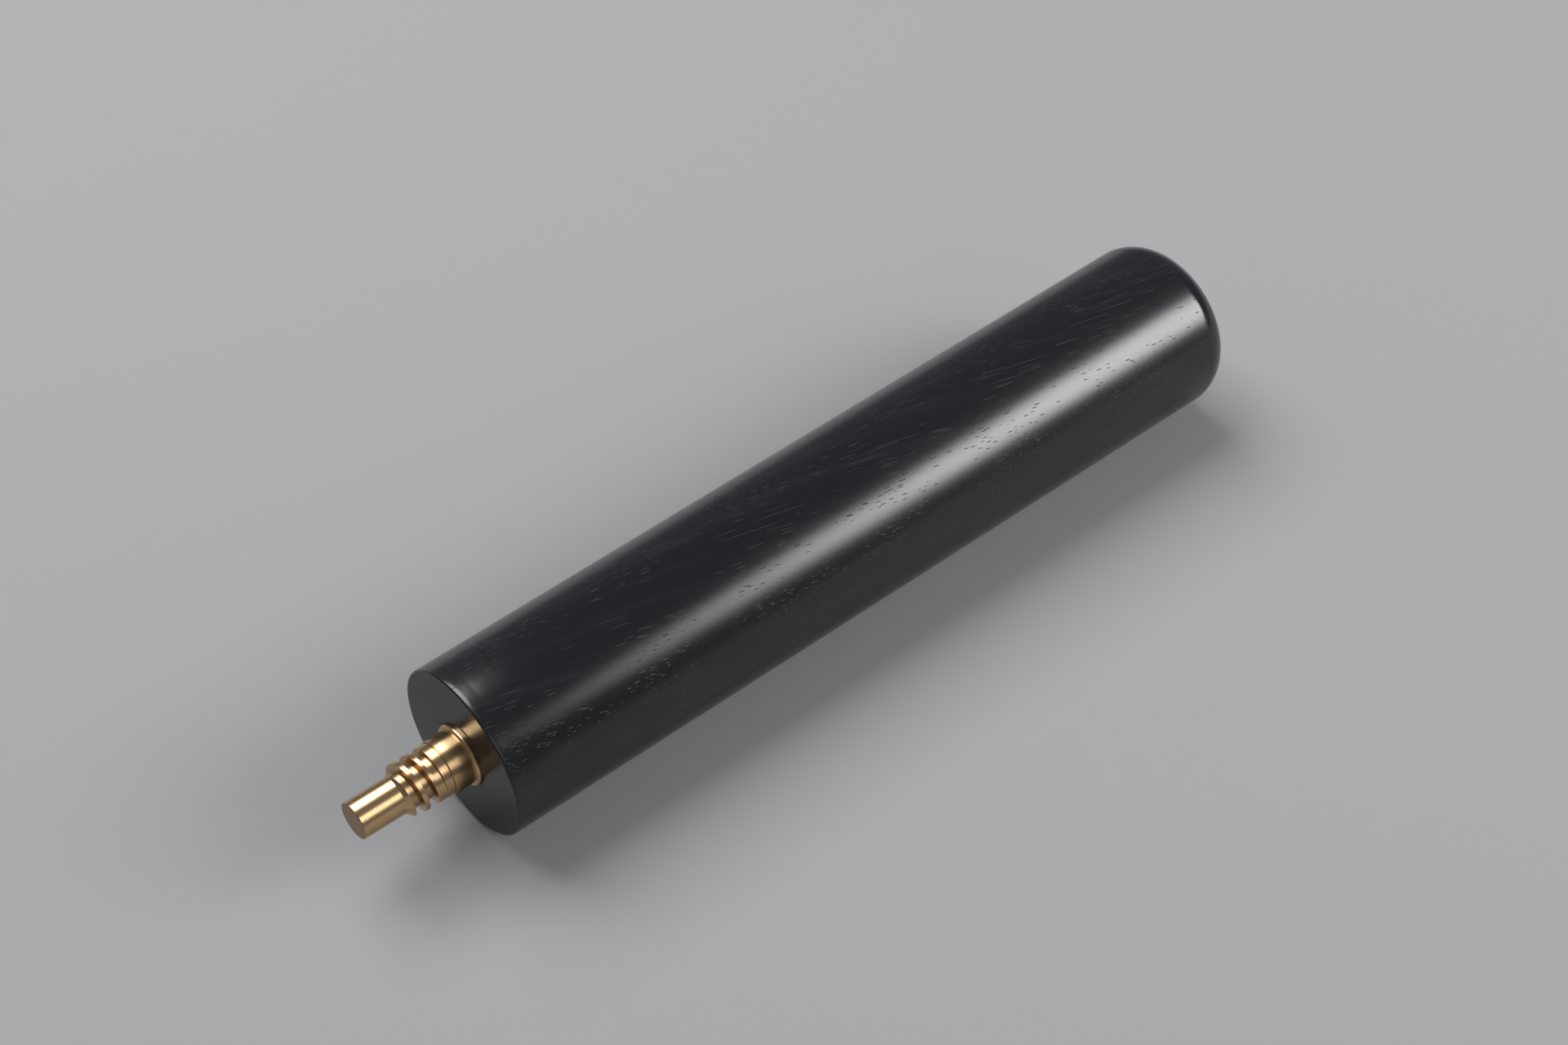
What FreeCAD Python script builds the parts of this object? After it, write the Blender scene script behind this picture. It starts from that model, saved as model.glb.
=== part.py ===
"""Cue butt extension: a turned ebony handle with a brass quick-release joint pin.

Frame: the turning axis is +X, from the joint end towards the butt end. The origin is
the centre of the handle's joint face, where a cue's own joint face meets it. +Z is up
when the piece lies on a table. Everything is in millimetres.

Three pieces make the object: the ebony handle, the one-piece turned brass pin, and the
cured resin that holds the pin's ribbed shank in the handle's blind bore.
"""

import FreeCAD, Part
import os

import Sketcher

# Driving dimensions in millimetres and degrees. Each becomes a cell with an alias.
DIMENSIONS = [
    ("HandleLength", 154.1, "joint face to butt face"),
    ("JointFaceDiameter", 29.0, "handle at the joint face"),
    ("ButtDiameter", 30.4, "handle where the butt edge starts to round"),
    ("ButtEdgeRadius", 5.7, "rounded edge round the butt face"),
    ("JointEdgeBreak", 0.4, "joint-face edge, softened by sanding"),
    ("SpotFaceDiameter", 10.8, "shallow seat for the pin's flange in the joint face"),
    ("SpotFaceDepth", 0.2, "depth of that seat"),
    ("BoreDiameter", 9.4, "blind bore for the pin's shank"),
    ("BoreDepth", 37.0, "depth of the bore's straight wall"),
    ("DrillPointAngle", 118.0, "included angle of the bore's conical end"),
    ("PinReach", 19.7, "pin tip to joint face"),
    ("PilotDiameter", 6.3, "plain nose that centres the joint"),
    ("PilotChamfer", 0.25, "broken edge of the nose"),
    ("PilotEnd", 12.2, "where the nose meets the thread, from the joint face"),
    ("LeadConeLength", 1.35, "cone that starts the thread"),
    ("ThreadDiameter", 8.9, "thread crests"),
    ("ThreadRootDiameter", 6.4, "bottom of the thread groove"),
    ("ThreadPitch", 2.4, "coarse quick-release pitch, single start, right hand"),
    ("ThreadCrestWidth", 0.75, "flat top of the thread"),
    ("ThreadFlankAngle", 14.0, "each flank from the radial plane"),
    ("GrooveMouthProud", 0.3, "groove section above the crests, so that it cuts cleanly"),
    ("GrooveCentre", 6.94, "groove centre at the +Y side, from the joint face"),
    ("GrooveTurns", 2.85, "full-depth turns, from there towards the tip"),
    ("RunoutTurns", 0.62, "turns over which the groove fades out"),
    ("RunoutPitch", 1.4, "slower advance while the groove fades out"),
    ("ShoulderFront", 4.3, "front of the seating shoulder, from the joint face"),
    ("ShoulderLineWidth", 0.15, "turned line in front of the shoulder"),
    ("ShoulderLineDepth", 0.14, "depth of that line below the thread crests"),
    ("ShoulderDiameter", 9.25, "seating shoulder"),
    ("ShoulderChamfer", 0.1, "broken front edge of the shoulder"),
    ("FlangeDiameter", 10.7, "thin flange that seats on the joint face"),
    ("FlangeProud", 0.75, "flange standing proud of the joint face"),
    ("FlangeRound", 0.45, "rounded outer edge of the flange"),
    ("ShankDiameter", 9.0, "shank inside the handle"),
    ("ShankLength", 34.0, "shank from the joint face"),
    ("ShankChamfer", 0.8, "lead-in at the shank's end"),
    ("RingCount", 6, "glue rings turned in the shank"),
    ("RingFirst", 5.0, "first glue ring, from the joint face"),
    ("RingSpacing", 4.8, "glue ring to glue ring"),
    ("RingWidth", 1.6, "glue ring at the shank's surface"),
    ("RingDepth", 0.5, "glue ring below the shank's surface"),
]


def make_sheet(doc):
    """Write every driving dimension into one spreadsheet, a row each."""
    sheet = doc.addObject("Spreadsheet::Sheet", "Dimensions")
    for row, (alias, value, meaning) in enumerate(DIMENSIONS, start=1):
        sheet.set(f"A{row}", meaning)
        sheet.set(f"B{row}", str(value))
        sheet.setAlias(f"B{row}", alias)
    doc.recompute()
    return sheet


def cell(alias):
    """Expression that names one cell of the sheet."""
    return f"Dimensions.{alias}"


def plane_sketch(body, name, role="XY_Plane"):
    """New sketch of a body, lying flat on one of the body's own origin planes."""
    sketch = body.newObject("Sketcher::SketchObject", name)
    plane = next(item for item in body.Origin.OriginFeatures if item.Role == role)
    sketch.AttachmentSupport = [(plane, "")]
    sketch.MapMode = "FlatFace"
    return sketch


def turning_profile(body, name, stations):
    """Closed half profile above the X axis, through (x, radius) expression pairs.

    The outline starts and ends on the axis, and each corner is held by a horizontal
    distance and a radius taken from the sheet, so the sketch has no loose corner.
    """
    sketch = plane_sketch(body, name)
    values = [(evaluate(body, along), evaluate(body, radius)) for along, radius in stations]
    points = [FreeCAD.Vector(along, radius, 0) for along, radius in values]
    count = len(points)
    for index in range(count):
        sketch.addGeometry(Part.LineSegment(points[index], points[(index + 1) % count]))
    for index in range(count):
        sketch.addConstraint(
            Sketcher.Constraint("Coincident", index, 2, (index + 1) % count, 1))
    for index, (along, radius) in enumerate(stations):
        pin_coordinate(sketch, "DistanceX", index, values[index][0], along)
        pin_coordinate(sketch, "DistanceY", index, values[index][1], radius)
    return sketch


def evaluate(body, expression):
    """Present value of an expression over the sheet, as a plain number."""
    value = body.Document.Dimensions.evalExpression(expression)
    return float(getattr(value, "Value", value))


def pin_coordinate(sketch, kind, line, value, expression):
    """Hold one coordinate of a line's first end at an expression over the sheet."""
    if abs(value) < 1e-9:
        axis = -1 if kind == "DistanceY" else -2
        sketch.addConstraint(Sketcher.Constraint("PointOnObject", line, 1, axis))
        return
    number = sketch.addConstraint(Sketcher.Constraint(kind, -1, 1, line, 1, value))
    sketch.setExpression(f"Constraints[{number}]", expression)


def revolve(body, sketch, name, feature="PartDesign::Revolution"):
    """Turn a profile a full circle about the X axis, adding or removing material."""
    turned = body.newObject(feature, name)
    turned.Profile = sketch
    turned.ReferenceAxis = (sketch, ["H_Axis"])
    turned.Angle = 360.0
    return turned


def edges_of_circle(shape, along, radius):
    """Names of the circular edges at one station and radius of a turned shape."""
    found = []
    for number, edge in enumerate(shape.Edges, start=1):
        curve = edge.Curve
        if not isinstance(curve, Part.Circle):
            continue
        if abs(curve.Center.x - along) < 1e-4 and abs(curve.Radius - radius) < 1e-4:
            found.append(f"Edge{number}")
    return found


def dress_edge(body, base, kind, name, where, size):
    """Fillet or chamfer the circular edge at (station, radius) by a sheet value."""
    body.Document.recompute()
    along, radius = (evaluate(body, text) for text in where)
    dressed = body.newObject(kind, name)
    dressed.Base = (base, edges_of_circle(base.Shape, along, radius))
    dressed.setExpression("Radius" if kind.endswith("Fillet") else "Size", cell(size))
    return dressed


def new_body(doc, label):
    """Body whose label is the node's name, standing in the part's own frame."""
    body = doc.addObject("PartDesign::Body", label)
    body.Label = label
    body.Placement = FreeCAD.Placement()
    return body


def make_handle(doc):
    """Ebony handle: slim taper, rounded butt edge, blind bore in the joint face."""
    body = new_body(doc, "ebony_handle")
    length, butt = cell("HandleLength"), f"{cell('ButtDiameter')} / 2"
    blank = turning_profile(body, "HandleProfile", [
        ("0", "0"),
        ("0", f"{cell('JointFaceDiameter')} / 2"),
        (length, butt),
        (length, "0"),
    ])
    turned = revolve(body, blank, "TurnedHandle")
    rounded = dress_edge(
        body, turned, "PartDesign::Fillet", "ButtEdge", (length, butt), "ButtEdgeRadius")
    broken = dress_edge(
        body, rounded, "PartDesign::Chamfer", "JointEdge",
        ("0", f"{cell('JointFaceDiameter')} / 2"), "JointEdgeBreak")
    doc.recompute()
    bore_radius, seat_radius = f"{cell('BoreDiameter')} / 2", f"{cell('SpotFaceDiameter')} / 2"
    bore = turning_profile(body, "BoreProfile", [
        ("0", "0"),
        ("0", seat_radius),
        (cell("SpotFaceDepth"), seat_radius),
        (cell("SpotFaceDepth"), bore_radius),
        (cell("BoreDepth"), bore_radius),
        (f"{cell('BoreDepth')} + {bore_radius} / tan({cell('DrillPointAngle')} * 0.5deg)", "0"),
    ])
    drilled = revolve(body, bore, "BlindBore", "PartDesign::Groove")
    body.Tip = drilled
    doc.recompute()
    if drilled.Shape.Volume >= broken.Shape.Volume:
        raise RuntimeError("the bore removed nothing from the handle")
    return body


def pin_stations():
    """Half profile of the pin blank, from the tip to the end of the shank."""
    reach, pilot = f"-{cell('PinReach')}", f"{cell('PilotDiameter')} / 2"
    nose_end, crest = f"-{cell('PilotEnd')}", f"{cell('ThreadDiameter')} / 2"
    line_front = f"-{cell('ShoulderFront')} - {cell('ShoulderLineWidth')}"
    line_radius = f"{crest} - {cell('ShoulderLineDepth')}"
    shoulder_front, shoulder = f"-{cell('ShoulderFront')}", f"{cell('ShoulderDiameter')} / 2"
    flange_front, flange = f"-{cell('FlangeProud')}", f"{cell('FlangeDiameter')} / 2"
    shank, shank_end = f"{cell('ShankDiameter')} / 2", cell("ShankLength")
    return [
        (reach, "0"),
        (reach, pilot),
        (nose_end, pilot),
        (f"{nose_end} + {cell('LeadConeLength')}", crest),
        (line_front, crest),
        (line_front, line_radius),
        (shoulder_front, line_radius),
        (shoulder_front, shoulder),
        (flange_front, shoulder),
        (flange_front, flange),
        (cell("SpotFaceDepth"), flange),
        (cell("SpotFaceDepth"), shank),
        (shank_end, shank),
        (shank_end, "0"),
    ]


def groove_section(body):
    """Section of the thread groove on the +Y side, its mouth a little proud of the crests."""
    centre = f"-{cell('GrooveCentre')}"
    root, crest = f"{cell('ThreadRootDiameter')} / 2", f"{cell('ThreadDiameter')} / 2"
    mouth = f"({crest} + {cell('GrooveMouthProud')})"
    slope = f"tan({cell('ThreadFlankAngle')} * 1deg)"
    half_width = f"({cell('ThreadPitch')} - {cell('ThreadCrestWidth')}) / 2"
    half_mouth = f"({half_width} + {cell('GrooveMouthProud')} * {slope})"
    half_root = f"({half_width} - ({crest} - {root}) * {slope})"
    return turning_profile(body, "ThreadGrooveSection", [
        (f"{centre} - {half_mouth}", mouth),
        (f"{centre} + {half_mouth}", mouth),
        (f"{centre} + {half_root}", root),
        (f"{centre} - {half_root}", root),
    ])


def cut_thread(body):
    """Right-hand groove at full depth towards the tip, then its fading run-out."""
    section = groove_section(body)
    full = body.newObject("PartDesign::SubtractiveHelix", "ThreadGroove")
    full.Profile = section
    full.ReferenceAxis = (section, ["H_Axis"])
    full.Mode = "pitch-turns-angle"
    full.Reversed = True
    full.setExpression("Pitch", cell("ThreadPitch"))
    full.setExpression("Turns", cell("GrooveTurns"))
    body.Document.recompute()
    runout = body.newObject("PartDesign::SubtractiveHelix", "ThreadRunout")
    runout.Profile = section
    runout.ReferenceAxis = (section, ["H_Axis"])
    runout.Mode = "height-turns-growth"
    runout.setExpression("Turns", cell("RunoutTurns"))
    runout.setExpression("Height", f"{cell('RunoutPitch')} * {cell('RunoutTurns')}")
    depth = f"({cell('ThreadDiameter')} - {cell('ThreadRootDiameter')}) / 2"
    runout.setExpression("Growth", f"{depth} / {cell('RunoutTurns')}")
    body.Document.recompute()
    return runout


def cut_glue_rings(body, base):
    """Row of V-shaped rings in the shank, cut once and repeated along the axis."""
    surface = f"{cell('ShankDiameter')} / 2"
    proud = cell("GrooveMouthProud")
    middle, half = cell("RingFirst"), f"{cell('RingWidth')} / 2"
    section = turning_profile(body, "GlueRingSection", [
        (f"{middle} - {half}", surface),
        (f"{middle} - {half}", f"{surface} + {proud}"),
        (f"{middle} + {half}", f"{surface} + {proud}"),
        (f"{middle} + {half}", surface),
        (middle, f"{surface} - {cell('RingDepth')}"),
    ])
    ring = revolve(body, section, "GlueRing", "PartDesign::Groove")
    body.Document.recompute()
    rings = body.newObject("PartDesign::LinearPattern", "GlueRings")
    rings.Originals = [ring]
    rings.Direction = (section, ["H_Axis"])
    rings.setExpression("Length", f"{cell('RingSpacing')} * ({cell('RingCount')} - 1)")
    rings.setExpression("Occurrences", cell("RingCount"))
    body.Tip = rings
    body.Document.recompute()
    if rings.Shape.Volume >= base.Shape.Volume:
        raise RuntimeError("the glue rings removed nothing from the shank")
    return rings


def make_pin(doc):
    """One-piece turned brass pin: nose, coarse thread, shoulder, flange, ringed shank."""
    body = new_body(doc, "joint_pin")
    blank = revolve(body, turning_profile(body, "PinProfile", pin_stations()), "TurnedPin")
    edges = [
        ("PartDesign::Chamfer", "NoseEdge", f"-{cell('PinReach')}", "PilotDiameter", "PilotChamfer"),
        ("PartDesign::Chamfer", "ShoulderEdge", f"-{cell('ShoulderFront')}", "ShoulderDiameter",
         "ShoulderChamfer"),
        ("PartDesign::Fillet", "FlangeEdge", f"-{cell('FlangeProud')}", "FlangeDiameter",
         "FlangeRound"),
        ("PartDesign::Chamfer", "ShankEdge", cell("ShankLength"), "ShankDiameter", "ShankChamfer"),
    ]
    feature = blank
    for kind, name, along, diameter, size in edges:
        feature = dress_edge(body, feature, kind, name, (along, f"{cell(diameter)} / 2"), size)
    doc.recompute()
    blank_volume = feature.Shape.Volume
    threaded = cut_thread(body)
    if threaded.Shape.Volume >= blank_volume:
        raise RuntimeError("the thread removed nothing from the pin")
    cut_glue_rings(body, threaded)
    return body


def make_bond(doc, pin):
    """Cured resin: everything in the handle's bore that the pin's shank leaves free."""
    wall = doc.addObject("Part::Cylinder", "BondWall")
    wall.setExpression("Radius", f"{cell('BoreDiameter')} / 2")
    wall.setExpression("Height", f"{cell('BoreDepth')} - {cell('SpotFaceDepth')}")
    wall.Placement.Rotation = FreeCAD.Rotation(FreeCAD.Vector(0, 1, 0), 90)
    wall.setExpression("Placement.Base.x", cell("SpotFaceDepth"))
    bond = doc.addObject("Part::Cut", "resin_bond")
    bond.Base = wall
    bond.Tool = pin
    bond.Label = "resin_bond"
    return bond


def check_document(doc):
    """Stop if any object of the document failed to build."""
    for item in doc.Objects:
        if "Invalid" in item.State or "Error" in item.State:
            raise RuntimeError(f"{item.Name} failed: {item.State}")


def check_overlaps(pieces):
    """Stop if two pieces share any space: they only touch."""
    for index, first in enumerate(pieces):
        for second in pieces[index + 1:]:
            shared = first.Shape.common(second.Shape).Volume
            if shared > 0.01:
                raise RuntimeError(f"{first.Label} and {second.Label} share {shared:.3f} mm3")


def write_parts(pieces):
    """Write one STEP file for each piece, named after its label."""
    os.makedirs("parts", exist_ok=True)
    for piece in pieces:
        shape = piece.Shape
        if shape.isNull() or not shape.isValid():
            raise RuntimeError(f"{piece.Label} has no valid shape")
        box = shape.BoundBox
        print(f"{piece.Label}: {len(shape.Solids)} solid, {shape.Volume:.1f} mm3, "
              f"x {box.XMin:.2f} to {box.XMax:.2f}, radius {box.YMax:.2f}")
        shape.exportStep(f"parts/{piece.Label}.step")


def main():
    """Build the three pieces from the sheet, check them and write them."""
    doc = FreeCAD.newDocument("CueButtExtension")
    make_sheet(doc)
    handle = make_handle(doc)
    pin = make_pin(doc)
    bond = make_bond(doc, pin)
    doc.recompute()
    check_document(doc)
    pieces = [handle, pin, bond]
    check_overlaps(pieces)
    write_parts(pieces)


main()
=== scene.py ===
"""Looks of a cue butt extension: a turned ebony handle with a brass quick-release joint pin.

The classes hold their sizes in millimetres and build their meshes in metres, in the
model's own frame: +X runs along the turning axis from the joint end to the butt end,
+Z is up, and the origin is the centre of the joint face.
"""

import logging
import math
from collections.abc import Callable
from dataclasses import dataclass
from enum import Enum

import bpy
import numpy as np
from mathutils import Matrix, Vector


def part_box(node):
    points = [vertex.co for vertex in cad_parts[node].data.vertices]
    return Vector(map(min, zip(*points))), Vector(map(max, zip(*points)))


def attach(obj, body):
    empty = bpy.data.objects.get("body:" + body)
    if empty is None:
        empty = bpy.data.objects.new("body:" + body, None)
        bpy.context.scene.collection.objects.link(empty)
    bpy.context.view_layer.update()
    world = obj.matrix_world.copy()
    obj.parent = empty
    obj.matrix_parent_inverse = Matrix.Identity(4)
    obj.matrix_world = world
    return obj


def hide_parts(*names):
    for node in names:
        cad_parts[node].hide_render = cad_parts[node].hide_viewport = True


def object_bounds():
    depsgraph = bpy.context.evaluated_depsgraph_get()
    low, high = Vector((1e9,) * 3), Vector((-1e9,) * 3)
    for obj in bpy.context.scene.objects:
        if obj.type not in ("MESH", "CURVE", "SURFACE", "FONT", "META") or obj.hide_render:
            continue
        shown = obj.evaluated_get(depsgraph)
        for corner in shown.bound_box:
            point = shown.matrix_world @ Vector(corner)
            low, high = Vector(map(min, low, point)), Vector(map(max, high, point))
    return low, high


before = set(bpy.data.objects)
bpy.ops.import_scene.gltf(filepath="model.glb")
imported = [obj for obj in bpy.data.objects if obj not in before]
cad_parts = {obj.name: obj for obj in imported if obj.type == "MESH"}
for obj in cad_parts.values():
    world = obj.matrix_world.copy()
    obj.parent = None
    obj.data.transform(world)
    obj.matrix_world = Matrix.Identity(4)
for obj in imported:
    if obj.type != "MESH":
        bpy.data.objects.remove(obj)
cad_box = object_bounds()

MM = 0.001
MAP_LENGTH = 100.0  # millimetres along a surface for each unit of its UV map
LOG = logging.getLogger("cue_extension")

Array = np.ndarray
Colour = tuple[float, float, float, float]
Reach = Callable[[Array, Array], Array]


class Edge(Enum):
    """How a turned corner was finished, with the rounding it leaves in millimetres."""

    CRISP = 0.03
    BROKEN = 0.08
    SANDED = 0.4


# ---------------------------------------------------------------- node helpers


def linear(code: str) -> Colour:
    """Turn an sRGB hex colour into Blender's linear colour.

    Args:
        code: Six hex digits after a hash, such as "#C8A15A".

    Returns:
        Linear red, green and blue, and an alpha of one.
    """
    values = (int(code[place:place + 2], 16) / 255 for place in (1, 3, 5))
    red, green, blue = (v / 12.92 if v <= 0.04045 else ((v + 0.055) / 1.055) ** 2.4 for v in values)
    return red, green, blue, 1.0


def add_node(
    tree: bpy.types.NodeTree,
    kind: str,
    inputs: dict[str | int, object] | None = None,
    output: str | int = 0,
    **settings: object,
) -> bpy.types.NodeSocket | None:
    """Add one shader node with its settings and links, and hand on one of its outputs.

    Args:
        tree: The node tree that gets the node.
        kind: The node's type name after "ShaderNode", such as "Math".
        inputs: A value, or the socket that feeds it, for inputs by name or place.
        output: Name or place of the output to hand on.
        **settings: The node's own settings by name.

    Returns:
        The chosen output socket, or nothing for a node without outputs.
    """
    node = tree.nodes.new("ShaderNode" + kind)
    for name, value in settings.items():
        setattr(node, name, value)
    for place, value in (inputs or {}).items():
        if isinstance(value, bpy.types.NodeSocket):
            tree.links.new(value, node.inputs[place])
        else:
            node.inputs[place].default_value = value
    return node.outputs[output] if node.outputs else None


def new_material(name: str) -> tuple[bpy.types.Material, bpy.types.NodeTree]:
    """Make a material with an empty node tree."""
    material = bpy.data.materials.new(name)
    material.use_nodes = True
    material.node_tree.nodes.clear()
    return material, material.node_tree


def metres(*lengths: float) -> tuple[float, ...]:
    """Turn lengths in millimetres into metres, such as a pattern's size on each axis."""
    return tuple(length * MM for length in lengths)


# ---------------------------------------------------------------- turned surfaces


@dataclass(frozen=True)
class Corner:
    """One corner of a turned outline.

    Attributes:
        along: Distance along the axis, in millimetres.
        radius: Distance from the axis, in millimetres.
        rounding: Radius of the arc that replaces the sharp corner.
        step: Longest row spacing on the straight run that follows.
    """

    along: float
    radius: float
    rounding: float = 0.0
    step: float = 2.0


@dataclass
class Outline:
    """Points of a turned outline with their outward normals, all in millimetres."""

    along: Array
    radius: Array
    normal_along: Array
    normal_radius: Array


def round_outline(corners: list[Corner], arc_rows: int = 6) -> Outline:
    """Trace an outline of straight runs joined by tangent arcs.

    At a corner the arc's tangent points lie rounding * tan(turn / 2) before and after it,
    and the arc's points come from turning the first run's normal into the second's. A
    straight run is divided evenly, and its points share the run's own normal.

    Args:
        corners: The outline's corners in order, first and last on the axis.
        arc_rows: Rows across each arc for every quarter turn.

    Returns:
        The outline's points and normals.
    """
    points = np.array([(corner.along, corner.radius) for corner in corners])
    runs = np.diff(points, axis=0)
    runs /= np.linalg.norm(runs, axis=1)[:, None]
    normals = np.stack([-runs[:, 1], runs[:, 0]], axis=1)
    places, directions = [], []
    start = points[0]
    for index in range(1, len(corners)):
        last = index == len(corners) - 1
        turn = 0.0 if last else math.acos(float(np.clip(runs[index - 1] @ runs[index], -1, 1)))
        back_off = corners[index].rounding * math.tan(turn / 2)
        stop = points[index] - runs[index - 1] * back_off
        count = max(1, math.ceil(np.linalg.norm(stop - start) / corners[index - 1].step))
        places.append(start + np.linspace(0, 1, count + 1)[:, None] * (stop - start))
        directions.append(np.broadcast_to(normals[index - 1], places[-1].shape))
        if last:
            break
        start = points[index] + runs[index] * back_off
        side = math.copysign(1.0, float(normals[index - 1] @ runs[index]))
        rows = max(2, math.ceil(arc_rows * turn / (math.pi / 2)))
        share = np.linspace(0, 1, rows + 1)[1:-1, None]
        swing = np.sin((1 - share) * turn) * normals[index - 1] + np.sin(share * turn) * normals[index]
        swing /= math.sin(turn)
        centre = stop + normals[index - 1] * corners[index].rounding * side
        places.append(centre - swing * corners[index].rounding * side)
        directions.append(swing)
    outline = np.concatenate(places)
    facing = np.concatenate(directions)
    return Outline(outline[:, 0], outline[:, 1], facing[:, 0], facing[:, 1])


def soft_least(first: Array, second: Array, blend: float) -> tuple[Array, Array]:
    """Take the lesser of two fields with a rounded change-over.

    Args:
        first: One field.
        second: The other field.
        blend: The difference over which the change-over is rounded.

    Returns:
        The lesser field, and the share of the first field in it from zero to one.
    """
    share = np.clip(0.5 + 0.5 * (second - first) / blend, 0.0, 1.0)
    return second * (1 - share) + first * share - blend * share * (1 - share), share


def turned_mesh(name: str, outline: Outline, columns: int, limit: Reach | None = None,
                blend: float = 0.08) -> bpy.types.Object:
    """Build a closed turned surface, with an optional cut that varies round the axis.

    A point at row s and column a is (x(s), r cos a, r sin a), where r is the outline's
    radius at s, or the soft least of that and the cut's radius limit(x, a). The normal is
    the outline's own, blended into the cut's, whose slopes come from small steps in x
    and a.

    Args:
        name: The object's name.
        outline: The turned outline, with both ends on the axis.
        columns: Columns round the axis.
        limit: The greatest radius left at each place along the axis and angle.
        blend: Rounding of the edge where the cut meets the turned surface.

    Returns:
        The new object, at the origin, with its place in its mesh.
    """
    inner = slice(1, -1)
    angle = np.arange(columns) * (2 * math.pi / columns)
    along, turn = np.meshgrid(outline.along[inner], angle, indexing="ij")
    radius = np.broadcast_to(outline.radius[inner, None], along.shape).copy()
    normal_x = np.broadcast_to(outline.normal_along[inner, None], along.shape).copy()
    normal_r = np.broadcast_to(outline.normal_radius[inner, None], along.shape).copy()
    normal_a = np.zeros_like(radius)
    cut_depth = np.zeros_like(radius)
    if limit is not None:
        tiny = 0.004
        cut = limit(along, turn)
        slope_x = (limit(along + tiny, turn) - limit(along - tiny, turn)) / (2 * tiny)
        slope_a = (limit(along, turn + tiny) - limit(along, turn - tiny)) / (2 * tiny)
        whole = radius
        radius, share = soft_least(whole, cut, blend)
        cut_depth = whole - radius
        length = np.sqrt(slope_x**2 + 1 + (slope_a / radius) ** 2)
        normal_x = share * normal_x - (1 - share) * slope_x / length
        normal_a = -(1 - share) * slope_a / radius / length
        normal_r = share * normal_r + (1 - share) / length
    cosine, sine = np.cos(turn), np.sin(turn)
    body = np.stack([along, radius * cosine, radius * sine], axis=-1).reshape(-1, 3)
    facing = np.stack(
        [normal_x, normal_r * cosine - normal_a * sine, normal_r * sine + normal_a * cosine], axis=-1
    ).reshape(-1, 3)
    poles = np.array([[outline.along[0], 0, 0], [outline.along[-1], 0, 0]])
    pole_facing = np.array([[outline.normal_along[0], 0, 0], [outline.normal_along[-1], 0, 0]])
    vertices = np.concatenate([body, poles]) * MM
    facing = np.concatenate([facing, pole_facing])
    facing /= np.linalg.norm(facing, axis=1)[:, None]

    rows = len(outline.along) - 2
    row, column = np.meshgrid(np.arange(rows - 1), np.arange(columns), indexing="ij")
    following = (column + 1) % columns
    quads = np.stack(
        [row * columns + column, row * columns + following, (row + 1) * columns + following,
         (row + 1) * columns + column], axis=-1).reshape(-1, 4)
    ring, next_ring = np.arange(columns), (np.arange(columns) + 1) % columns
    first_fan = np.stack([np.full(columns, rows * columns), next_ring, ring], axis=-1)
    offset = (rows - 1) * columns
    last_fan = np.stack(
        [np.full(columns, rows * columns + 1), offset + ring, offset + next_ring], axis=-1)

    mesh = bpy.data.meshes.new(name)
    mesh.from_pydata(vertices, [], [*quads.tolist(), *first_fan.tolist(), *last_fan.tolist()])
    write_map(mesh, outline, columns, quads, first_fan, last_fan)
    depth = mesh.attributes.new("cut_depth", "FLOAT", "POINT")
    depth.data.foreach_set("value", np.append(cut_depth.ravel(), [0.0, 0.0]).astype(np.float32))
    mesh.shade_smooth()
    mesh.normals_split_custom_set_from_vertices(facing.tolist())
    mesh.validate()
    piece = bpy.data.objects.new(name, mesh)
    bpy.context.scene.collection.objects.link(piece)
    return piece


def write_map(mesh: bpy.types.Mesh, outline: Outline, columns: int, quads: Array,
              first_fan: Array, last_fan: Array) -> None:
    """Write the surface's UV map.

    U runs once round the axis, and V follows the outline's length.

    Args:
        mesh: The turned mesh.
        outline: The outline it was turned from.
        columns: Columns round the axis.
        quads: The mesh's four-cornered faces.
        first_fan: The triangles round the first pole.
        last_fan: The triangles round the last pole.
    """
    run = np.hypot(np.diff(outline.along), np.diff(outline.radius))
    length = np.concatenate([[0.0], np.cumsum(run)]) / MAP_LENGTH
    row = quads // columns + 1
    round_share = (quads % columns) / columns
    seam = (quads[:, :1] % columns) == columns - 1
    round_share = np.where(seam & (round_share == 0), 1.0, round_share)
    quad_map = np.stack([round_share, length[row]], axis=-1).reshape(-1, 2)
    share = np.arange(columns) / columns
    edge = np.full(columns, length[1])
    first_map = np.stack(
        [np.stack([share, np.zeros(columns)], -1), np.stack([share + 1 / columns, edge], -1),
         np.stack([share, edge], -1)], axis=1).reshape(-1, 2)
    tail, end = np.full(columns, length[-2]), np.full(columns, length[-1])
    last_map = np.stack(
        [np.stack([share, end], -1), np.stack([share, tail], -1),
         np.stack([share + 1 / columns, tail], -1)], axis=1).reshape(-1, 2)
    layer = mesh.uv_layers.new(name="Turned")
    values = np.concatenate([quad_map, first_map, last_map]).astype(np.float32)
    layer.data.foreach_set("uv", values.ravel())


# ---------------------------------------------------------------- finishes


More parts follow.
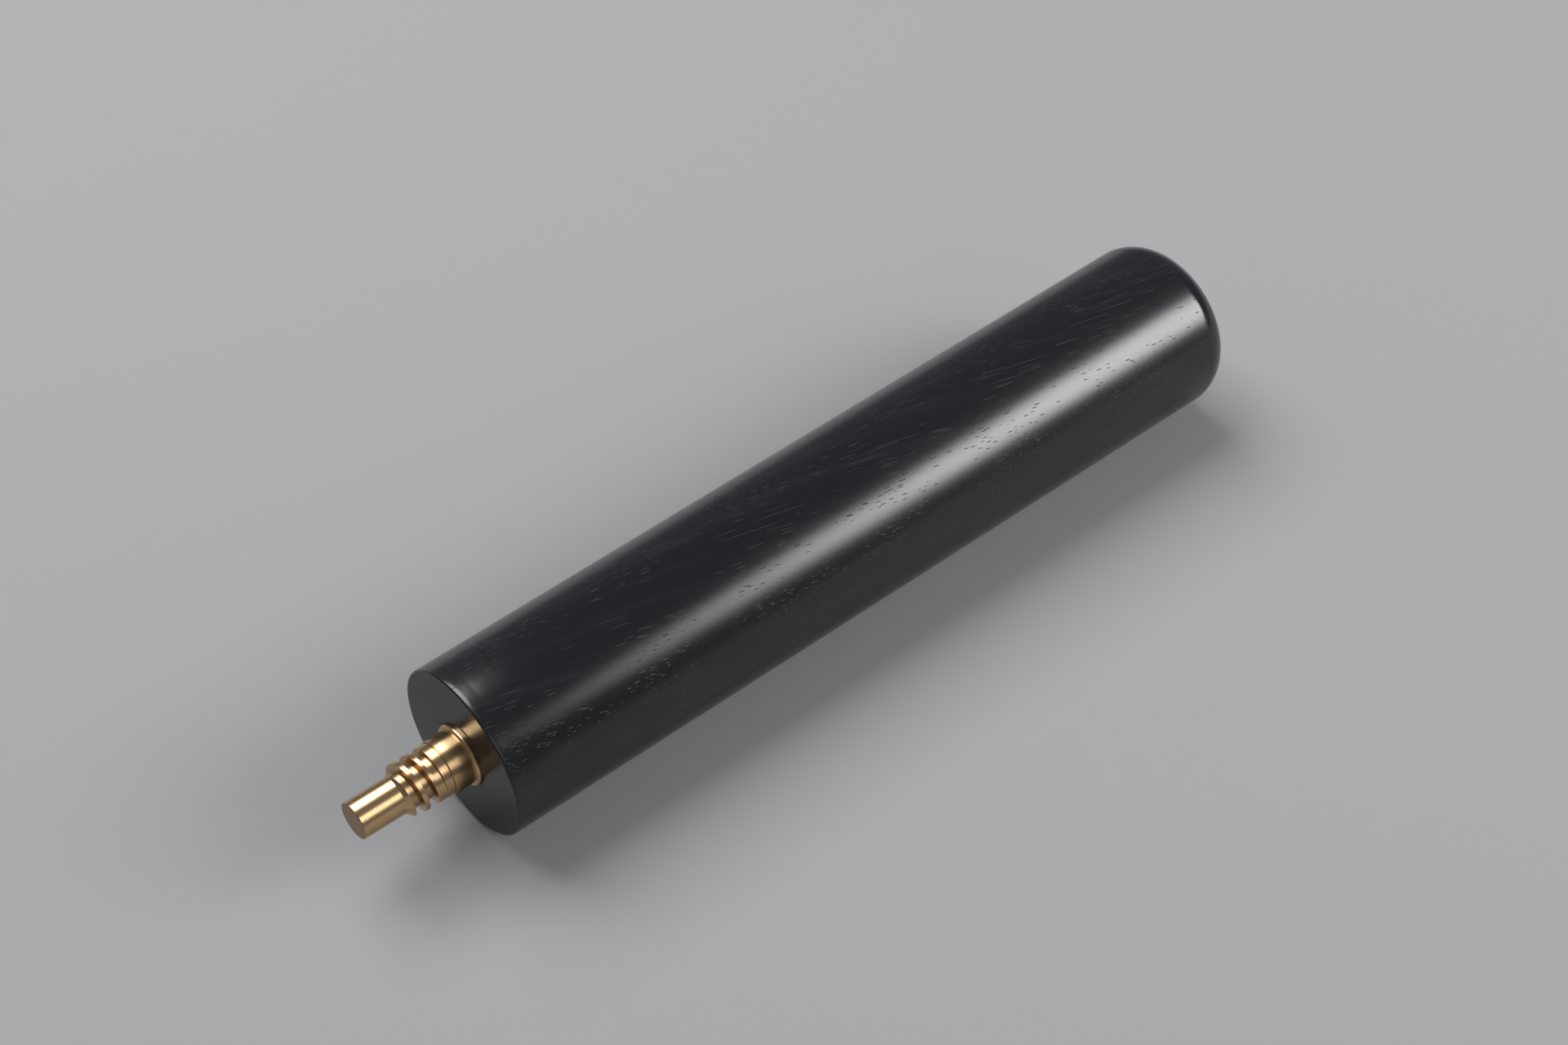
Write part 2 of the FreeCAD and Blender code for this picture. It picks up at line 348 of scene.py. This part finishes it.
@dataclass(frozen=True)
class EbonyFinish:
    """Ebony, turned and sanded along the grain, then oiled and burnished to a satin sheen.

    The wood is nearly black. Its vessels run at a slant to the turning axis, so the turned
    surface cuts them into short dashes, dull and coloured darker than the wood as painted
    shade in their hollows, which grow long where it runs with the grain, and the end faces
    cut them into dots. Sanding along the handle spreads a highlight round the handle and
    leaves it crisp along it.

    Attributes:
        name: Name of the material.
        heart: Colour of the dark wood.
        streak: Colour of the slightly lighter growth streaks.
        pore: Colour inside an open pore, darker than the wood as painted shade in its hollow.
        roughness: Sheen of the burnished wood.
        specular: Specular level of the wood, lower on end grain, which drinks up the oil.
        brushed: How far the along-grain sanding spreads a highlight round the handle.
        slant: Angle of the grain to the turning axis, in degrees, towards -Y.
        rise: Angle of the grain to the level, in degrees, downwards.
        pore_width: Width of a vessel in millimetres, drawn a little wider than a real one.
        pore_spacing: Mean spacing of vessels across the grain, in millimetres.
        pore_run: Length of pattern along the grain that holds one vessel, in millimetres.
        pore_dullness: How much rougher an open pore is than the wood round it.
        group_size: Length and width of a group of vessels, in millimetres.
        streak_size: Length and width of the growth streaks, in millimetres.
        fibre_size: Length and width of the wood's fibres, in millimetres.
        fibre_dullness: How much rougher the fibres leave the wood.
        fibre_relief: Height of the fibres against the depth of a pore.
    """

    name: str = "ebony_sanded_and_oiled"
    heart: str = "#121315"
    streak: str = "#1B1C1E"
    pore: str = "#070707"
    roughness: float = 0.105
    specular: float = 0.5
    brushed: float = 1.0
    slant: float = 13.0
    rise: float = 2.5
    pore_width: float = 0.12
    pore_spacing: float = 0.3
    pore_run: float = 24.0
    pore_dullness: float = 0.85
    group_size: tuple[float, float] = (14.0, 3.5)
    streak_size: tuple[float, float] = (70.0, 2.0)
    fibre_size: tuple[float, float] = (5.0, 0.16)
    fibre_dullness: float = 0.06
    fibre_relief: float = 0.1

    def build(self) -> bpy.types.Material:
        """Make the ebony material from noise and vessels stretched along the grain."""
        material, tree = new_material(self.name)
        place = add_node(tree, "TexCoord", output="Object")
        streaks = add_node(tree, "TexNoise", {
            "Vector": self.along_grain(tree, place, *self.streak_size), "Scale": 1.0, "Detail": 4.0})
        fibres = add_node(tree, "TexNoise", {
            "Vector": self.along_grain(tree, place, *self.fibre_size), "Scale": 1.0, "Detail": 2.0})
        pores = self.pore_mask(tree, place)

        streaked = add_node(tree, "MapRange", {"Value": streaks, "From Min": 0.5, "From Max": 0.72})
        wood = add_node(tree, "Mix", {0: streaked, 6: linear(self.heart), 7: linear(self.streak)}, 2,
                        data_type="RGBA")
        # Painted shade: open pores are coloured darker than the wood, as shade in their hollows.
        colour = add_node(tree, "Mix", {0: pores, 6: wood, 7: linear(self.pore)}, 2, data_type="RGBA")
        uneven = add_node(tree, "Math", {0: fibres, 1: self.fibre_dullness, 2: self.roughness},
                          operation="MULTIPLY_ADD")
        rough = add_node(tree, "Math", {0: pores, 1: self.pore_dullness, 2: uneven},
                         operation="MULTIPLY_ADD", use_clamp=True)
        height = add_node(tree, "Math", {0: fibres, 1: self.fibre_relief}, operation="MULTIPLY")
        relief = add_node(tree, "Math", {0: height, 1: pores}, operation="SUBTRACT")
        bump = add_node(tree, "Bump", {"Height": relief, "Strength": 0.35, "Distance": 0.03 * MM})
        round_handle = add_node(tree, "Tangent", direction_type="UV_MAP", uv_map="Turned")
        shader = add_node(tree, "BsdfPrincipled", {
            "Base Color": colour, "Roughness": rough, "IOR": 1.52, "Specular IOR Level": self.specular,
            "Anisotropic": self.brushed, "Normal": bump, "Tangent": round_handle})
        add_node(tree, "OutputMaterial", {"Surface": shader})
        return material

    def along_grain(self, tree: bpy.types.NodeTree, place: bpy.types.NodeSocket,
                    length: float, width: float) -> bpy.types.NodeSocket:
        """Turn coordinates to the grain and count them in pattern lengths and widths.

        Args:
            tree: The ebony material's node tree.
            place: The socket of the object coordinates.
            length: Length of the pattern's unit along the grain, in millimetres.
            width: Width of the pattern's unit across the grain, in millimetres.

        Returns:
            The socket of the turned and scaled coordinates.
        """
        turn = (0.0, math.radians(self.rise), -math.radians(self.slant))
        return add_node(tree, "Mapping", {
            "Vector": place, "Rotation": turn, "Scale": metres(length, width, width)},
            vector_type="TEXTURE")

    def pore_mask(self, tree: bpy.types.NodeTree, place: bpy.types.NodeSocket) -> bpy.types.NodeSocket:
        """Make a mask of open pores: a long slim vessel in some of the cells along the grain.

        A vessel is the part of its cell that lies within half its width of the cell's
        point, counted in cell widths. Which cells hold one follows the cell's random
        number against a limit that drifts over a few millimetres, so pores lie in groups.

        Args:
            tree: The ebony material's node tree.
            place: The socket of the object coordinates.

        Returns:
            A socket that is one inside a pore and zero outside.
        """
        reach = self.pore_width / (2 * self.pore_spacing)
        slim = self.along_grain(tree, place, self.pore_run, self.pore_spacing)
        distance = add_node(tree, "TexVoronoi", {"Vector": slim, "Scale": 1.0}, "Distance")
        number = add_node(tree, "SeparateColor", {"Color": distance.node.outputs["Color"]})
        groups = add_node(tree, "TexNoise", {
            "Vector": self.along_grain(tree, place, *self.group_size), "Scale": 1.0, "Detail": 1.0})
        inside = add_node(tree, "MapRange", {
            "Value": distance, "From Min": reach * 0.85, "From Max": reach * 1.1,
            "To Min": 1.0, "To Max": 0.0})
        limit = add_node(tree, "MapRange", {
            "Value": groups, "From Min": 0.35, "From Max": 0.65, "To Min": 0.25, "To Max": 1.0})
        chosen = add_node(tree, "Math", {0: number, 1: limit}, operation="LESS_THAN")
        return add_node(tree, "Math", {0: inside, 1: chosen}, operation="MULTIPLY")


@dataclass(frozen=True)
class BrassFinish:
    """Free-cutting brass, turned on a lathe and lightly polished, not lacquered.

    Attributes:
        bright: Colour of the polished metal.
        aged: Colour of the browner film on the nose's end and in thin patches.
        groove_shade: Colour painted at the bottom of the thread as shade in the groove.
        roughness: Sheen of the polished metal.
        film_dullness: How much rougher the film and the thread's grooves are than the bare metal.
        tool_feed: Spacing of the lathe's feed lines in millimetres, drawn coarser than real.
    """

    bright: str = "#CBA97E"
    aged: str = "#8C6C48"
    groove_shade: str = "#5F5044"
    roughness: float = 0.21
    film_dullness: float = 0.14
    tool_feed: float = 0.11

    def build(self) -> bpy.types.Material:
        """Make the brass material: feed lines round the axis, and a duller film and painted shade in
        the grooves.
        """
        material, tree = new_material("brass_turned_and_polished")
        place = add_node(tree, "TexCoord", output="Object")
        thin_slices = add_node(tree, "Mapping", {
            "Vector": place, "Scale": metres(self.tool_feed, 40.0, 40.0)}, vector_type="TEXTURE")
        feed = add_node(tree, "TexNoise", {"Vector": thin_slices, "Scale": 1.0, "Detail": 2.0}, "Fac")
        patches = add_node(tree, "Mapping", {
            "Vector": place, "Scale": metres(1.6, 1.1, 1.1)}, vector_type="TEXTURE")
        cloud = add_node(tree, "TexNoise", {"Vector": patches, "Scale": 1.0, "Detail": 5.0}, "Fac")

        # The depth of the thread cut sets a duller finish and a painted shade at the bottom of the
        # groove.
        cut = add_node(tree, "Attribute", output="Fac", attribute_name="cut_depth")
        grooved = add_node(tree, "MapRange", {
            "Value": cut, "From Min": 0.3, "From Max": 1.2, "To Max": 0.3},
            interpolation_type="SMOOTHSTEP")
        along = add_node(tree, "SeparateXYZ", {"Vector": place}, "X")
        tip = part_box("joint_pin")[0].x
        end = add_node(tree, "MapRange", {
            "Value": along, "From Min": tip + 0.02 * MM, "From Max": tip + 0.12 * MM,
            "To Min": 0.85, "To Max": 0.0})
        clouded = add_node(tree, "MapRange", {
            "Value": cloud, "From Min": 0.5, "From Max": 0.75, "To Max": 0.22})
        tarnish = add_node(tree, "Math", {0: end, 1: clouded}, operation="MAXIMUM")
        film = add_node(tree, "Math", {0: tarnish, 1: grooved}, operation="MAXIMUM")

        skin = add_node(tree, "Mix", {0: tarnish, 6: linear(self.bright), 7: linear(self.aged)}, 2,
                        data_type="RGBA")
        # Painted shade: the bottom of the thread groove is darkened towards a dull brown by the depth
        # of the cut.
        colour = add_node(tree, "Mix", {0: grooved, 6: skin, 7: linear(self.groove_shade)}, 2,
                          data_type="RGBA")
        sheen = add_node(tree, "MapRange", {
            "Value": feed, "From Min": 0.3, "From Max": 0.7,
            "To Min": self.roughness - 0.02, "To Max": self.roughness + 0.04})
        rough = add_node(tree, "Math", {0: film, 1: self.film_dullness, 2: sheen},
                         operation="MULTIPLY_ADD")
        bump = add_node(tree, "Bump", {"Height": feed, "Strength": 0.35, "Distance": 0.004 * MM})
        shader = add_node(tree, "BsdfPrincipled", {
            "Base Color": colour, "Metallic": 1.0, "Roughness": rough, "Normal": bump})
        add_node(tree, "OutputMaterial", {"Surface": shader})
        return material


@dataclass(frozen=True)
class ResinFinish:
    """Cured epoxy glue: honey-coloured, glossy where it cured against the metal.

    Attributes:
        clear: Colour of the thin glue line.
        thick: Deeper colour where the resin is thick.
    """

    clear: str = "#C9B079"
    thick: str = "#A98A4C"

    def build(self) -> bpy.types.Material:
        """Make the resin material with soft clouding and a glossy skin."""
        material, tree = new_material("epoxy_cured")
        place = add_node(tree, "TexCoord", output="Object")
        patches = add_node(tree, "Mapping", {
            "Vector": place, "Scale": metres(2.4, 2.4, 2.4)}, vector_type="TEXTURE")
        cloud = add_node(tree, "TexNoise", {"Vector": patches, "Scale": 1.0, "Detail": 3.0}, "Fac")
        colour = add_node(tree, "Mix", {0: cloud, 6: linear(self.clear), 7: linear(self.thick)}, 2,
                          data_type="RGBA")
        bump = add_node(tree, "Bump", {"Height": cloud, "Strength": 0.3, "Distance": 0.05 * MM})
        shader = add_node(tree, "BsdfPrincipled", {
            "Base Color": colour, "Roughness": 0.22, "IOR": 1.55, "Normal": bump})
        add_node(tree, "OutputMaterial", {"Surface": shader})
        return material


# ---------------------------------------------------------------- pieces


@dataclass
class Handle:
    """The turned ebony handle: slim taper, rounded butt edge, seat and blind bore.

    Attributes:
        joint_radius: Radius at the joint face, in millimetres.
        edge_drop: How far sanding has let the surface fall away at the joint edge.
        edge_reach: How far along the handle that roll-off reaches.
        knee_share: Where the roll-off bends, as a share of its reach.
        knee_drop: The drop left at the bend, as a share of the whole drop.
        knee_rounding: Rounding of the bend.
        end_rounding: Rounding where the roll-off meets the taper.
        butt_rounding: Rounding of the butt edge.
        seat_radius: Radius of the shallow seat for the pin's flange.
        seat_depth: Depth of that seat.
        bore_radius: Radius of the blind bore.
        bore_depth: Depth of the bore's straight wall.
        drill_half_angle: Half the included angle of the bore's conical end, in degrees.
        columns: Columns of the mesh round the axis.
        finish: The handle's material recipe.
        face_finish: The same wood's recipe for the end grain of the joint face.
    """

    joint_radius: float = 14.5
    edge_drop: float = 0.012
    edge_reach: float = 2.6
    knee_share: float = 0.3
    knee_drop: float = 0.2
    knee_rounding: float = 22.0
    end_rounding: float = 60.0
    butt_rounding: float = 5.7
    seat_radius: float = 5.4
    seat_depth: float = 0.2
    bore_radius: float = 4.7
    bore_depth: float = 37.0
    drill_half_angle: float = 59.0
    columns: int = 288
    finish: EbonyFinish = EbonyFinish()
    face_finish: EbonyFinish = EbonyFinish(name="ebony_end_grain_oiled", specular=0.34)

    def outline(self) -> Outline:
        """Trace the handle from the bottom of its bore, round the outside, to the butt."""
        low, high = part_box("ebony_handle")
        length, butt_radius = high.x / MM, high.z / MM
        bore_tip = self.bore_depth + self.bore_radius / math.tan(math.radians(self.drill_half_angle))
        knee_radius = self.joint_radius - self.edge_drop * self.knee_drop
        return round_outline([
            Corner(bore_tip, 0.0),
            Corner(self.bore_depth, self.bore_radius, Edge.CRISP.value, 6.0),
            Corner(self.seat_depth, self.bore_radius, Edge.CRISP.value),
            Corner(self.seat_depth, self.seat_radius, Edge.CRISP.value),
            Corner(low.x / MM, self.seat_radius, Edge.CRISP.value, 1.0),
            Corner(low.x / MM, self.joint_radius - self.edge_drop, Edge.SANDED.value, 0.4),
            Corner(self.edge_reach * self.knee_share, knee_radius, self.knee_rounding, 0.5),
            Corner(self.edge_reach, self.joint_radius, self.end_rounding, 1.5),
            Corner(length, butt_radius, self.butt_rounding, 1.2),
            Corner(length, 0.0),
        ], arc_rows=14)

    def build(self) -> bpy.types.Object:
        """Build and dress the handle, and let it stand for its CAD node."""
        piece = turned_mesh("handle_ebony", self.outline(), self.columns)
        piece.data.materials.append(self.finish.build())
        piece.data.materials.append(self.face_finish.build())
        self.mark_joint_face(piece.data)
        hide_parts("ebony_handle")
        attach(piece, "root")
        return piece

    def mark_joint_face(self, mesh: bpy.types.Mesh) -> None:
        """Give the second material to the faces whose corners all lie on the joint face.

        Args:
            mesh: The handle's mesh, with both materials.
        """
        places = np.empty(len(mesh.vertices) * 3, np.float32)
        mesh.vertices.foreach_get("co", places)
        corners = np.empty(len(mesh.loops), np.int32)
        mesh.loops.foreach_get("vertex_index", corners)
        starts = np.empty(len(mesh.polygons), np.int32)
        mesh.polygons.foreach_get("loop_start", starts)
        on_face = np.abs(places[::3]) < 0.01 * MM
        flat = np.logical_and.reduceat(on_face[corners], starts)
        mesh.polygons.foreach_set("material_index", flat.astype(np.int32))


@dataclass
class JointPin:
    """The one-piece brass pin: nose, coarse thread, shoulder, flange and ringed shank.

    Attributes:
        nose_radius: Radius of the plain nose that centres the joint, in millimetres.
        nose_end: Where the nose meets the thread's lead cone, from the joint face.
        cone_length: Length of the lead cone.
        crest_radius: Radius over the thread crests.
        root_radius: Radius at the bottom of the thread groove.
        pitch: Advance of the thread for each turn.
        crest_width: Flat width of a crest.
        flank_angle: Slope of each flank from the radial plane, in degrees.
        groove_place: Groove centre at the +Y side, from the joint face.
        runout_turns: Turns over which the groove fades out.
        runout_pitch: Advance for each turn while it fades out.
        shoulder_front: Front of the shoulder, from the joint face.
        shoulder_radius: Radius of the shoulder.
        line_width: Width of the turned line in front of the shoulder.
        line_depth: Depth of that line below the crests.
        flange_radius: Radius of the flange.
        flange_proud: How far the flange stands out of the joint face.
        flange_rounding: Rounding of the flange's outer edge.
        flange_seat: How far the flange is let into the joint face.
        shank_radius: Radius of the shank inside the handle.
        shank_chamfer: Chamfer of the shank's end.
        ring_first: First glue ring from the joint face.
        ring_spacing: Spacing of the glue rings.
        ring_count: Number of glue rings.
        ring_half_width: Half the width of a glue ring.
        ring_depth: Depth of a glue ring.
        columns: Columns of the mesh round the axis.
        finish: The pin's material recipe.
    """

    nose_radius: float = 3.15
    nose_end: float = 12.2
    cone_length: float = 1.35
    crest_radius: float = 4.45
    root_radius: float = 3.2
    pitch: float = 2.4
    crest_width: float = 0.75
    flank_angle: float = 14.0
    groove_place: float = 6.94
    runout_turns: float = 0.62
    runout_pitch: float = 1.4
    shoulder_front: float = 4.3
    shoulder_radius: float = 4.625
    line_width: float = 0.15
    line_depth: float = 0.14
    flange_radius: float = 5.35
    flange_proud: float = 0.75
    flange_rounding: float = 0.45
    flange_seat: float = 0.2
    shank_radius: float = 4.5
    shank_chamfer: float = 0.8
    ring_first: float = 5.0
    ring_spacing: float = 4.8
    ring_count: int = 6
    ring_half_width: float = 0.8
    ring_depth: float = 0.5
    columns: int = 168
    finish: BrassFinish = BrassFinish()

    def outline(self) -> Outline:
        """Trace the pin from the nose's end to the end of the shank."""
        low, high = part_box("joint_pin")
        tip, tail = low.x / MM, high.x / MM
        crisp, broken = Edge.CRISP.value, Edge.BROKEN.value
        line_radius = self.crest_radius - self.line_depth
        corners = [
            Corner(tip, 0.0),
            Corner(tip, self.nose_radius, 0.22, 0.5),
            Corner(-self.nose_end, self.nose_radius, crisp, 0.05),
            Corner(self.cone_length - self.nose_end, self.crest_radius, broken, 0.03),
            Corner(-self.shoulder_front - self.line_width, self.crest_radius, crisp, 0.05),
            Corner(-self.shoulder_front - self.line_width, line_radius, crisp, 0.05),
            Corner(-self.shoulder_front, line_radius, crisp, 0.05),
            Corner(-self.shoulder_front, self.shoulder_radius, broken, 0.4),
            Corner(-self.flange_proud, self.shoulder_radius, crisp, 0.2),
            Corner(-self.flange_proud, self.flange_radius, self.flange_rounding, 0.3),
            Corner(self.flange_seat, self.flange_radius, crisp, 0.5),
            Corner(self.flange_seat, self.shank_radius, crisp, 1.0),
        ]
        for index in range(self.ring_count):
            middle = self.ring_first + index * self.ring_spacing
            corners += [
                Corner(middle - self.ring_half_width, self.shank_radius, crisp, 0.4),
                Corner(middle, self.shank_radius - self.ring_depth, broken, 0.4),
                Corner(middle + self.ring_half_width, self.shank_radius, crisp, 2.0),
            ]
        corners += [
            Corner(tail - self.shank_chamfer, self.shank_radius, crisp, 0.5),
            Corner(tail, self.shank_radius - self.shank_chamfer, crisp, 1.0),
            Corner(tail, 0.0),
        ]
        return round_outline(corners)

    def thread_limit(self, along: Array, turn: Array) -> Array:
        """Greatest radius that the thread groove leaves at each place.

        The groove's centre advances one pitch for each turn at full depth. For the last
        part of a turn it advances by the run-out pitch and its root rises to the crests.
        Across the groove the radius is the root's, then climbs the flanks, which rise by
        one over the tangent of the flank angle.

        Args:
            along: Places along the axis, in millimetres.
            turn: Angles round the axis from +Y towards +Z, in radians.

        Returns:
            The limiting radius at each place, in millimetres.
        """
        slope = 1.0 / math.tan(math.radians(self.flank_angle))
        depth = self.crest_radius - self.root_radius
        half_root = (self.pitch - self.crest_width) / 2 - depth / slope
        share = (turn / (2 * math.pi)) % 1.0
        full_turns = np.ceil((along + self.groove_place) / self.pitch - share - 0.5)
        turns = share + np.minimum(full_turns, -1.0)
        full = np.abs(along + self.groove_place - self.pitch * turns)
        full_limit = self.root_radius + np.maximum(full - half_root, 0.0) * slope
        fading = np.abs(along + self.groove_place - self.runout_pitch * share)
        rise = depth * share / self.runout_turns
        fading_limit = self.root_radius + rise + np.maximum(fading - half_root, 0.0) * slope
        return np.minimum(full_limit, fading_limit)

    def build(self) -> bpy.types.Object:
        """Build and dress the pin, and let it stand for its CAD node."""
        piece = turned_mesh("pin_brass", self.outline(), self.columns, self.thread_limit)
        piece.data.materials.append(self.finish.build())
        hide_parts("joint_pin")
        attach(piece, "root")
        return piece


@dataclass
class ResinBond:
    """The cured resin round the pin's shank, kept as the CAD node with its own finish."""

    finish: ResinFinish = ResinFinish()

    def dress(self) -> bpy.types.Object:
        """Give the CAD node of the resin its material."""
        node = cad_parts["resin_bond"]
        material = self.finish.build()
        for slot in node.material_slots:
            slot.material = material
        if not node.material_slots:
            node.data.materials.append(material)
        return node


# ---------------------------------------------------------------- studio


class Cloth(Enum):
    """The shape of a soft light's front cloth."""

    SQUARE = "RECTANGLE"
    ROUND = "ELLIPSE"


@dataclass(frozen=True)
class SoftLight:
    """A soft studio light aimed squarely at the handle's axis.

    Attributes:
        name: The light's name.
        cloth: The shape of its front.
        place: Its centre, in metres.
        size: Its width along the handle and its height, in metres.
        brightness: Radiance of the middle of its front.
        fade: Share of a round front's radius, or of a square front's height from its
            lower edge, over which the brightness fades in.
    """

    name: str
    cloth: Cloth
    place: tuple[float, float, float]
    size: tuple[float, float]
    brightness: float
    fade: float

    def build(self) -> None:
        """Make the area light, its width along the handle, and fade its edge."""
        back = Vector((0.0, self.place[1], self.place[2])).normalized()
        side = Vector((1.0, 0.0, 0.0))
        turned = Matrix((side, back.cross(side), back)).transposed().to_4x4()
        data = bpy.data.lights.new(self.name, "AREA")
        data.shape = self.cloth.value
        data.size, data.size_y = self.size
        fill = math.pi / 4 if self.cloth is Cloth.ROUND else 1.0
        data.energy = self.brightness * math.pi * self.size[0] * self.size[1] * fill
        self.fade_edge(data)
        light = bpy.data.objects.new(data.name, data)
        light.matrix_world = Matrix.Translation(self.place) @ turned
        bpy.context.scene.collection.objects.link(light)

    def fade_edge(self, data: bpy.types.Light) -> None:
        """Fade a round front in from its rim, and a square one from its lower edge.

        Args:
            data: The light, whose face runs from zero to one both ways.
        """
        data.use_nodes = True
        tree = data.node_tree
        tree.nodes.clear()
        across = add_node(tree, "NewGeometry", output="Parametric")
        if self.cloth is Cloth.ROUND:
            centred = add_node(tree, "VectorMath", {0: across, 1: (0.5, 0.5, 0.0)}, "Value",
                               operation="DISTANCE")
            inwards = add_node(tree, "Math", {0: centred, 1: -2.0, 2: 1.0}, operation="MULTIPLY_ADD")
        else:
            inwards = add_node(tree, "SeparateXYZ", {"Vector": across}, "Y")
        glow = add_node(tree, "MapRange", {"Value": inwards, "From Max": self.fade},
                        interpolation_type="SMOOTHSTEP")
        front = add_node(tree, "Emission", {"Strength": glow})
        add_node(tree, "OutputLight", {"Surface": front})


@dataclass
class Studio:
    """Pale floor, soft lights, dim room and the camera.

    Attributes:
        floor_colour: Colour of the plain pale floor.
        floor_width: Width of the floor, in metres.
        lights: One light overhead, one beyond the butt end, and a small one in front.
        room_colour: Colour of the dim room.
        room_strength: Brightness of the dim room.
        lens: Focal length of the camera, in millimetres.
        sensor: Width of the camera's sensor, in millimetres.
        azimuth: How far the camera's right is turned from +X towards -Y, in degrees.
        elevation: Height of the view above the horizon, in degrees.
        distance: From the camera to the point it looks at, in millimetres.
        aim_share: The point looked at, as a share of the handle's length.
        aim_aside: The same point's place beside the axis, towards +Y, in millimetres.
    """

    floor_colour: str = "#8A8B8C"
    floor_width: float = 5.0
    lights: tuple[SoftLight, ...] = (
        SoftLight("softbox_overhead", Cloth.SQUARE, (-0.045, 0.46, 0.88), (0.75, 0.84),
                  brightness=7.2, fade=0.25),
        SoftLight("octabox_side", Cloth.ROUND, (0.965, -0.757, 0.653), (1.4, 0.9),
                  brightness=12.3, fade=0.7),
        SoftLight("striplight_front", Cloth.SQUARE, (0.154, -0.804, 0.595), (0.26, 0.62),
                  brightness=3.1, fade=0.4),
    )
    room_colour: str = "#B9BDC4"
    room_strength: float = 0.34
    lens: float = 60.0
    sensor: float = 36.0
    azimuth: float = 40.4
    elevation: float = 46.18
    distance: float = 428.6
    aim_share: float = 0.4445
    aim_aside: float = 5.4

    def build_floor(self) -> None:
        """Lay a large plain floor under the lowest point of the object."""
        low = cad_box[0].z
        half = self.floor_width / 2
        mesh = bpy.data.meshes.new("floor")
        corners = [(-half, -half, low), (half, -half, low), (half, half, low), (-half, half, low)]
        mesh.from_pydata(corners, [], [(0, 1, 2, 3)])
        material, tree = new_material("floor_paper")
        shader = add_node(tree, "BsdfPrincipled", {
            "Base Color": linear(self.floor_colour), "Roughness": 0.85})
        add_node(tree, "OutputMaterial", {"Surface": shader})
        mesh.materials.append(material)
        floor = bpy.data.objects.new("floor", mesh)
        bpy.context.scene.collection.objects.link(floor)

    def build_lights(self) -> None:
        """Hang the soft lights and fill the room with dim light."""
        for light in self.lights:
            light.build()
        world = bpy.data.worlds.new("dim_room")
        bpy.context.scene.world = world
        world.use_nodes = True
        background = world.node_tree.nodes["Background"]
        background.inputs["Color"].default_value = linear(self.room_colour)
        background.inputs["Strength"].default_value = self.room_strength

    def build_camera(self) -> None:
        """Place the camera by its angles round the point it looks at."""
        handle_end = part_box("ebony_handle")[1].x
        aim = Vector((handle_end * self.aim_share, self.aim_aside * MM, 0.0))
        turn, height = math.radians(self.azimuth), math.radians(self.elevation)
        right = Vector((math.cos(turn), -math.sin(turn), 0.0))
        level = Vector((-math.sin(turn), -math.cos(turn), 0.0))
        back = level * math.cos(height) + Vector((0.0, 0.0, math.sin(height)))
        data = bpy.data.cameras.new("camera")
        data.lens, data.sensor_width = self.lens, self.sensor
        data.clip_start, data.clip_end = 0.01, 20.0
        camera = bpy.data.objects.new("camera", data)
        turned = Matrix((right, back.cross(right), back)).transposed().to_4x4()
        camera.matrix_world = Matrix.Translation(aim + back * self.distance * MM) @ turned
        bpy.context.scene.collection.objects.link(camera)
        bpy.context.scene.camera = camera

    def build(self) -> None:
        """Build the camera, the floor and the lights, and keep colours plain."""
        self.build_camera()
        self.build_floor()
        self.build_lights()
        bpy.context.scene.view_settings.view_transform = "Standard"


def main() -> None:
    """Build the pieces in order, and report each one."""
    logging.basicConfig(level=logging.INFO, format="%(name)s: %(message)s")
    Studio().build()
    for piece in (Handle().build(), JointPin().build(), ResinBond().dress()):
        LOG.info("%s has %d faces", piece.name, len(piece.data.polygons))


if __name__ == "__main__":
    main()
